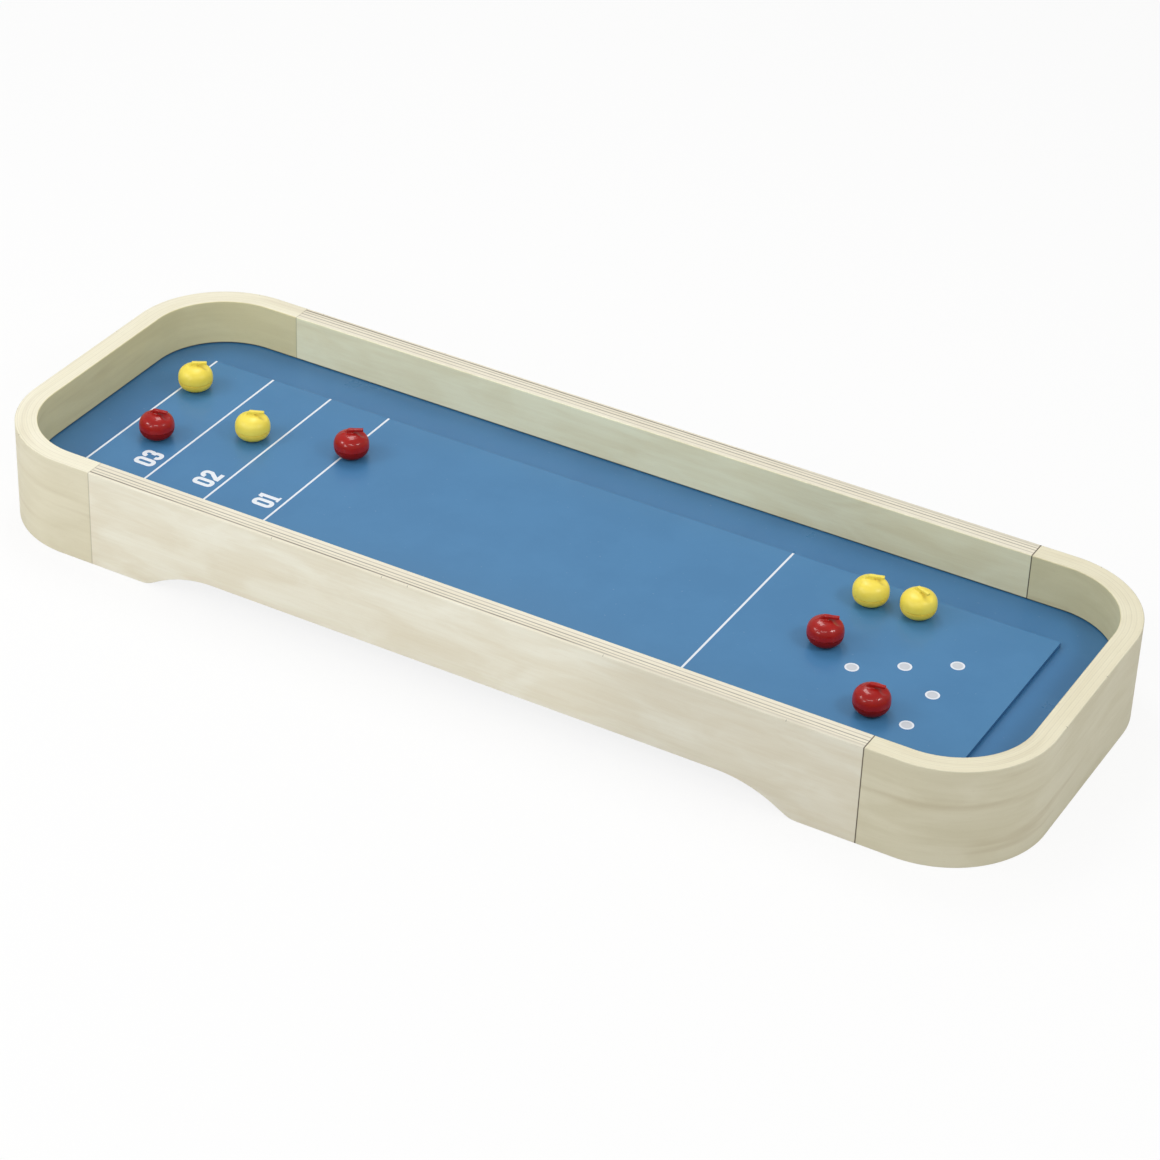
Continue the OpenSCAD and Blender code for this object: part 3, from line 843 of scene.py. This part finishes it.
zones_low, zones_high = (Vector(corner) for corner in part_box("zone_lines"))
throw_low, throw_high = (Vector(corner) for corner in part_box("throwing_line"))
LINE = throw_high.x - throw_low.x
ZONES = 3
PITCH_OF_ZONES = (zones_high.x - zones_low.x - LINE) / ZONES
line_middles = [Vector((zones_low.x + LINE / 2 + PITCH_OF_ZONES * zone, 0, 0)) for zone in range(ZONES + 1)]
line_middles.append(Vector((throw_low.x + LINE / 2, 0, 0)))
LINE_INK = print_ink("line_ink", line_middles, (1, 0, 0), (LINE * 0.32, LINE * 0.42), LANE_BLUE)

spots_low, spots_high = (Vector(corner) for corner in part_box("pin_spots"))
SPOT = 9.3 * MM
SPOT_ROWS = 3
step_x, step_y = ((spots_high[axis] - spots_low[axis] - SPOT) / (SPOT_ROWS - 1) for axis in (0, 1))
spot_middles = [Vector((spots_low.x + SPOT / 2 + column * step_x,
                        (spots_low.y + spots_high.y) / 2 + (row - column / 2) * step_y, LANE_TOP))
                for column in range(SPOT_ROWS) for row in range(column + 1)]
SPOT_INK = print_ink("spot_ink", spot_middles, (1, 1, 1), (SPOT * 0.42, SPOT * 0.32), srgb(204, 208, 215))
INK = print_ink("white_ink")
for node, ink in (("zone_lines", LINE_INK), ("throwing_line", LINE_INK), ("zone_numerals", INK),
                  ("pin_spots", SPOT_INK)):
    dress(node, ink)
print("lines at", [round(middle.x / MM, 1) for middle in line_middles], "mm,", len(spot_middles), "spots")

# %% [markdown]
# ## The stones' upper halves
#
# A stone's shell is one moulding: a squarish dome, a dish scooped out for the fingertip, and a
# handle that grows out of the dome with no seam. Joined meshes would leave a hard crease there, so
# the shape is written as a field instead: a number at each point of space, negative inside the
# plastic. A smooth minimum of two fields joins two shapes with a fillet, and a smooth maximum
# cuts one from the other. All of it is in millimetres, with the lane at height 0.

# %% Make words for fields


def smooth_min(a, b, fillet):
    """The union of two fields with a fillet."""
    overlap = np.maximum(fillet - np.abs(a - b), 0) / fillet
    return np.minimum(a, b) - overlap ** 2 * fillet / 4


def smooth_max(a, b, fillet):
    """The common part of two fields with a rounded edge."""
    return -smooth_min(-a, -b, fillet)


def soft_box(points, low, high, round_by):
    """A box with rounded edges."""
    low, high = np.array(low), np.array(high)
    reach = np.abs(points - (low + high) / 2) - (high - low) / 2 + round_by
    return np.linalg.norm(np.maximum(reach, 0), axis=-1) + np.minimum(reach.max(-1), 0) - round_by


def tapered_rod(points, start, end, start_radius, end_radius):
    """A round rod between two points that grows from one radius to the other."""
    start, span = np.array(start), np.subtract(end, start)
    along = np.clip((points - start) @ span / (span @ span), 0, 1)
    gap = np.linalg.norm(points - start - along[..., None] * span, axis=-1)
    return gap - start_radius - along * (end_radius - start_radius)


# %% [markdown]
# The dome is round with a squarish profile, and the same dome, smaller by the wall's thickness,
# hollows it out. A ball's shape cuts the dish under the handle's tip. The hollow stays clear of the
# dish by the same thickness, so the wall is even, and a post stays in its middle, over the ball.

# %% Write the shell as a field
STONE_WIDE, STONE_TALL, SQUARENESS, WAIST = 12.0, 9.2, 2.5, 9.2
SHELL_WALL, SHELL_RIM = 1.6, 8.17
DISH_CENTRE, DISH_RADIUS = (10.0, 0.0, 23.5), 8.0
POST_RADIUS = 4.2
# two corners of the handle's bar, and two of the root that joins it to the dome
HANDLE_TOP, HANDLE_EDGE = 21.3, 0.45
BAR = (-2.0, -1.3, 19.5), (8.0, 1.3, HANDLE_TOP)
ROOT = (-2.0, -1.3, 16.0), (1.3, 1.3, HANDLE_TOP)
# the rod behind the root: its two ends, and its radius at each
HEEL = (-6.4, 0, 17.0), (-1.8, 0, 20.25), 0.35, 1.05


def dome(points, wide, tall):
    """Distance to a squarish round body about the waist, along the ray from its middle."""
    radius = np.hypot(points[..., 0], points[..., 1])
    lift = points[..., 2] - WAIST
    size = ((radius / wide) ** SQUARENESS + np.abs(lift / tall) ** SQUARENESS) ** (1 / SQUARENESS)
    return np.hypot(radius, lift) * (1 - 1 / np.maximum(size, 0.05))


def shell_field(points):
    """The moulded shell with its handle, dish, hollow and post."""
    dish = np.linalg.norm(points - DISH_CENTRE, axis=-1) - DISH_RADIUS
    body = smooth_max(dome(points, STONE_WIDE, STONE_TALL), -dish, 0.8)
    bar, root = (soft_box(points, *corners, HANDLE_EDGE) for corners in (BAR, ROOT))
    handle = smooth_min(smooth_min(bar, root, 0.6), tapered_rod(points, *HEEL), 0.8)
    solid = smooth_min(body, handle, 1.1)
    hollow = dome(points, STONE_WIDE - SHELL_WALL, STONE_TALL - SHELL_WALL)
    hollow = smooth_max(hollow, SHELL_WALL - dish, 0.5)
    post = np.hypot(points[..., 0], points[..., 1]) - POST_RADIUS
    hollow = smooth_max(hollow, -post, 0.4)
    return smooth_max(smooth_max(solid, -hollow, 0.3), SHELL_RIM - points[..., 2], 0.25)


print("shell: wall", SHELL_WALL, "mm, dome's top at", WAIST + STONE_TALL, "mm, handle's at", HANDLE_TOP, "mm")

# %% [markdown]
# The field becomes a mesh by the rule of surface nets. Space is cut into small cells. Each cell
# that the surface passes through gets one point, at the middle of the places where the cell's
# edges cross it, and around each crossed edge the four neighbouring points make a face. Blender's
# own remeshing would need a mesh to start from, and there is none yet.

# %% Turn a field into a mesh


def surface_net(field, low, high, step):
    """Points and four-sided faces on the zero level of a field."""
    axes = [np.arange(a - 2 * step, b + 3 * step, step) for a, b in zip(low, high)]
    grid = np.stack(np.meshgrid(*axes, indexing="ij"), -1)
    value = field(grid)
    total = np.zeros([n - 1 for n in value.shape] + [3])
    count = np.zeros(total.shape[:3])
    crossed = []
    for axis in range(3):
        others = [a for a in range(3) if a != axis]
        first = np.take(value, range(value.shape[axis] - 1), axis)
        second = np.take(value, range(1, value.shape[axis]), axis)
        cross = (first < 0) != (second < 0)
        share = np.where(cross, first / np.where(cross, first - second, 1), 0)
        spot = np.take(grid, range(value.shape[axis] - 1), axis)
        spot[..., axis] += share * step
        for near in ((0, 0), (0, 1), (1, 0), (1, 1)):
            part = [slice(None)] * 3
            for other, offset in zip(others, near):
                part[other] = slice(offset, offset + total.shape[other])
            part = tuple(part)
            total += np.where(cross[part][..., None], spot[part], 0)
            count += cross[part]
        crossed.append((cross, first < 0, others))
    number = np.full(count.shape, -1)
    number[count > 0] = np.arange((count > 0).sum())
    points = (total / np.maximum(count, 1)[..., None])[count > 0]
    faces = []
    for axis, (cross, starts_inside, others) in enumerate(crossed):
        where = np.argwhere(cross)
        corners = []
        for offsets in ((1, 1), (0, 1), (0, 0), (1, 0)):
            cell = where.copy()
            for other, offset in zip(others, offsets):
                cell[:, other] -= offset
            corners.append(number[tuple(cell.T)])
        quads = np.stack(corners, -1)
        # round an edge along Y the four cells follow each other the other way
        turn = starts_inside[cross] if axis != 1 else ~starts_inside[cross]
        quads[~turn] = quads[~turn][:, ::-1]
        faces.append(quads)
    return points, np.concatenate(faces)


# %% [markdown]
# A middle of crossings lies a little off the true surface, so each point is pushed along the field's
# slope until the field is zero there. A coarse grid then still gives a clean curve.

# %% Settle the shell's points
NET_STEP = 0.36
# how often the points are pushed, the nudge that measures the slope, and the least slope squared
SETTLE_ROUNDS, NUDGE, FLATTEST = 4, 1e-3, 0.1


def settle(field, points, reach):
    """Pushes points onto a field's zero level, each by at most the reach."""
    start = points.copy()
    nudges = np.eye(3) * NUDGE
    for _ in range(SETTLE_ROUNDS):
        slope = np.stack([(field(points + d) - field(points - d)) / (2 * NUDGE) for d in nudges], -1)
        steep = np.maximum((slope ** 2).sum(-1, keepdims=True), FLATTEST)
        move = -field(points)[:, None] * slope / steep
        points = start + np.clip(points + move - start, -reach, reach)
    return points


net_points, shell_faces = surface_net(shell_field, (-STONE_WIDE, -STONE_WIDE, SHELL_RIM),
                                      (STONE_WIDE, STONE_WIDE, HANDLE_TOP), NET_STEP)
shell_points = settle(shell_field, net_points, NET_STEP / 3)
print("stone shell:", len(shell_points), "points,", len(shell_faces), "faces")

# %% [markdown]
# ## The stones' lower halves
#
# The base is a turned shape, so its outline is drawn once and spun round the axis. It carries the
# lip that the shell clips on and the stepped bore that the ball's cup turns in. A Screw modifier
# could spin it as well, but the helper that joined the boards' rings already does the same.

# %% Spin the base
SEAM, UNDERSIDE = 8.0, 1.0
LIP_TOP, BORE, LEDGE, LEDGE_BORE = 9.5, 4.25, 6.05, 5.45
SPIN_STEPS, SIDE_STEPS = 96, 23
LIP_CLEAR = 0.1
# how far the side stays from the seam and from the underside, where the edges are broken
FROM_SEAM, FROM_UNDERSIDE = 0.1, 0.15
LIP_EDGE, BORE_EDGE = 0.2, 0.15


def stone_radius(height):
    """The stone's radius at a height."""
    return STONE_WIDE * (1 - abs((height - WAIST) / STONE_TALL) ** SQUARENESS) ** (1 / SQUARENESS)


def base_outline():
    """Radius and height round the base's section."""
    seam, foot = stone_radius(SEAM), stone_radius(UNDERSIDE)
    lip = seam - SHELL_WALL - LIP_CLEAR
    start, end = SEAM - FROM_SEAM, UNDERSIDE + FROM_UNDERSIDE
    heights = [start - (start - end) * sin(a) for a in np.linspace(0, pi / 2, SIDE_STEPS)]
    side = [(stone_radius(z), z) for z in heights]
    seam_edge = [(seam - 0.18, SEAM), (seam - 0.05, SEAM - 0.03)]
    foot_edge = [(foot - 0.15, UNDERSIDE + 0.06), (foot - 0.45, UNDERSIDE)]
    return [(LEDGE_BORE, LIP_TOP), (lip - LIP_EDGE, LIP_TOP), (lip, LIP_TOP - LIP_EDGE), (lip, SEAM),
            *seam_edge, *side, *foot_edge, (BORE + BORE_EDGE, UNDERSIDE), (BORE, UNDERSIDE + BORE_EDGE),
            (BORE, LEDGE), (LEDGE_BORE, LEDGE)]


def spun(outline):
    """Points and faces of an outline spun round the axis."""
    count = len(outline)
    turns = np.linspace(0, 2 * pi, SPIN_STEPS, endpoint=False)
    points = [(radius * cos(a), radius * sin(a), height) for a in turns for radius, height in outline]
    faces = []
    for turn in range(SPIN_STEPS):
        faces += ring_faces(count, turn * count, (turn + 1) % SPIN_STEPS * count)
    return points, faces


base_points, base_faces = spun(base_outline())
print("stone base:", len(base_points), "points,", len(base_faces), "faces")

# %% [markdown]
# ## Moulded plastic
#
# The stones' upper halves are glossy, but a moulding is never a perfect mirror: it has a slow
# waviness, a few fine scratches from play, and a slightly paler bloom. Small bumps break the lamps'
# reflections into the uneven patches that the photograph shows. Stones knock together at their
# waists, so they are dull there, and the lower halves are satin. The lower halves are also coloured
# darker than the shells, the red ones much darker, which is painted shade under the waists. The red
# ones have a mirror-like skin over a soft shine, and the yellow ones only shine softly.

# %% Make the stones' plastics
# the waist is worn fully below the first distance from it, and not at all beyond the second
WORN_NEAR, WORN_FAR, WORN_ROUGHNESS = 0.8 * MM, 3.2 * MM, 0.15
SKIN_ROUGHNESS = 0.05


def plastic(name, colour, deep, roughness, gloss, skin=0.0):
    """Moulded plastic. The gloss is its soft shine, the skin how much its polished surface mirrors."""
    material, tree = new_material(name)
    place = object_place(tree)
    waves = noise(tree, place, (260, 260, 260), detail=2)
    bloom = noise(tree, place, (90, 90, 90), shift=(2, 2, 2), detail=3)
    scratches = between(tree, noise(tree, place, (2600, 120, 900), shift=(1, 6, 3), detail=2), 0.66, 0.72)
    tone = mix(tree, between(tree, bloom, 0.3, 0.7), colour, deep)
    level = parts(tree, place)[2]
    off_waist = calc(tree, "ABSOLUTE", calc(tree, "SUBTRACT", level, LANE_TOP + WAIST * MM))
    worn = between(tree, off_waist, WORN_NEAR, WORN_FAR, WORN_ROUGHNESS, 0.0)
    rough = calc(tree, "ADD", calc(tree, "MULTIPLY_ADD", bloom, 0.06, roughness), worn)
    rough = calc(tree, "MULTIPLY_ADD", scratches, 0.12, rough)
    height = calc(tree, "SUBTRACT", waves, times(tree, scratches, 0.06))
    surface(tree, tone, rough, height, 0.16 * MM, Specular_IOR_Level=gloss, Coat_Weight=skin,
            Coat_Roughness=calc(tree, "ADD", SKIN_ROUGHNESS, worn))
    return material


SHELLS = {
    "yellow_plastic": plastic("yellow_plastic", srgb(251, 231, 98), srgb(248, 225, 86), 0.30, 0.24),
    "red_plastic": plastic("red_plastic", srgb(171, 24, 18), srgb(160, 18, 14), 0.32, 0.16, skin=0.38)}
# painted shade: the bases' colours are darker than the shells'
SHADED_BASES = {
    "yellow_plastic": plastic("satin_yellow_plastic", srgb(253, 224, 88), srgb(250, 217, 76), 0.40, 0.25),
    "red_plastic": plastic("satin_red_plastic", srgb(142, 17, 12), srgb(134, 14, 10), 0.40, 0.15)}
print("plastics:", *SHELLS, "and a satin one of each")

# %% [markdown]
# ## Steel, grey plastic and beech
#
# Each stone rolls on a polished steel ball that sits in a cup of plain grey plastic, and dowels of
# turned beech hold the tray's joints. None of them shows from outside, but they do when the tray or a
# stone is taken apart, so they get finishes of their own.

# %% Make the hidden pieces' finishes


def steel(name):
    """Polished bearing steel."""
    material, tree = new_material(name)
    place = object_place(tree)
    haze = noise(tree, place, (500, 500, 500), detail=3)
    rough = calc(tree, "MULTIPLY_ADD", haze, 0.10, 0.08)
    surface(tree, srgb(222, 223, 226), rough, haze, 0.002 * MM, Metallic=1.0)
    return material


def cup_plastic(name):
    """Plain grey moulded plastic."""
    material, tree = new_material(name)
    place = object_place(tree)
    grain = noise(tree, place, (1400, 1400, 1400), detail=2)
    tone = mix(tree, grain, srgb(128, 130, 134), srgb(112, 114, 118))
    surface(tree, tone, 0.5, grain, 0.01 * MM)
    return material


def beech(name):
    """Turned beech for the dowels, with its grain along them."""
    material, tree = new_material(name)
    place = object_place(tree)
    grain = noise(tree, place, (60, 1300, 1300), detail=4, rough=0.6)
    tone = mix(tree, between(tree, grain, 0.3, 0.7), srgb(222, 190, 148), srgb(198, 162, 118))
    surface(tree, tone, 0.6, grain, 0.04 * MM)
    return material


STEEL, CUP_PLASTIC = steel("ball_steel"), cup_plastic("cup_plastic")
dress("corner_dowels", beech("dowel_beech"))
print("nodes in the steel:", len(STEEL.node_tree.nodes), "and in the cups' plastic:",
      len(CUP_PLASTIC.node_tree.nodes))

# %% [markdown]
# ## Eight stones
#
# Every stone is the same pair of mouldings, turned its own way. Its place comes from its ball in
# the construction model, and its colour from the record. Each pair rides on that stone's own body,
# so it slides and turns with it.

# %% Set the stones on the lane
# which way each handle points, in degrees from the tray's length
HEADINGS = (33, 12, 26, 33, 20, -20, 20, 10)
SLOTS = {entry["node"]: entry["material_slot"] for entry in frame["record"]["subparts"]}


def stone_piece(name, points, faces, place, heading, sharp_from):
    """A moulding in millimetres, turned and moved to its stone's place."""
    turn = Matrix.Rotation(radians(heading), 4, "Z")
    placed = Matrix.Translation(place) @ turn @ Matrix.Scale(MM, 4)
    piece = solid_piece(name, np.asarray(points).tolist(), np.asarray(faces).tolist(), placed)
    smooth(piece, sharp_from)
    return piece


for number, heading in enumerate(HEADINGS, 1):
    ball_low, ball_high = (Vector(corner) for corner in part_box(f"stone_{number}_ball"))
    middle = (ball_low + ball_high) / 2
    place = Vector((middle.x, middle.y, LANE_TOP))
    for part, points, faces, plastics, sharp_from in (("shell", shell_points, shell_faces, SHELLS, 50),
                                                      ("base", base_points, base_faces, SHADED_BASES, 32)):
        node = f"stone_{number}_{part}"
        piece = stone_piece(f"{node}_moulding", points, faces, place, heading, sharp_from)
        piece.data.materials.append(plastics[SLOTS[node]])
        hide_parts(node)
        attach(piece, f"stone_{number}")
    dress(f"stone_{number}_ball", STEEL)
    dress(f"stone_{number}_ball_cup", CUP_PLASTIC)
print("stones:", len(HEADINGS))
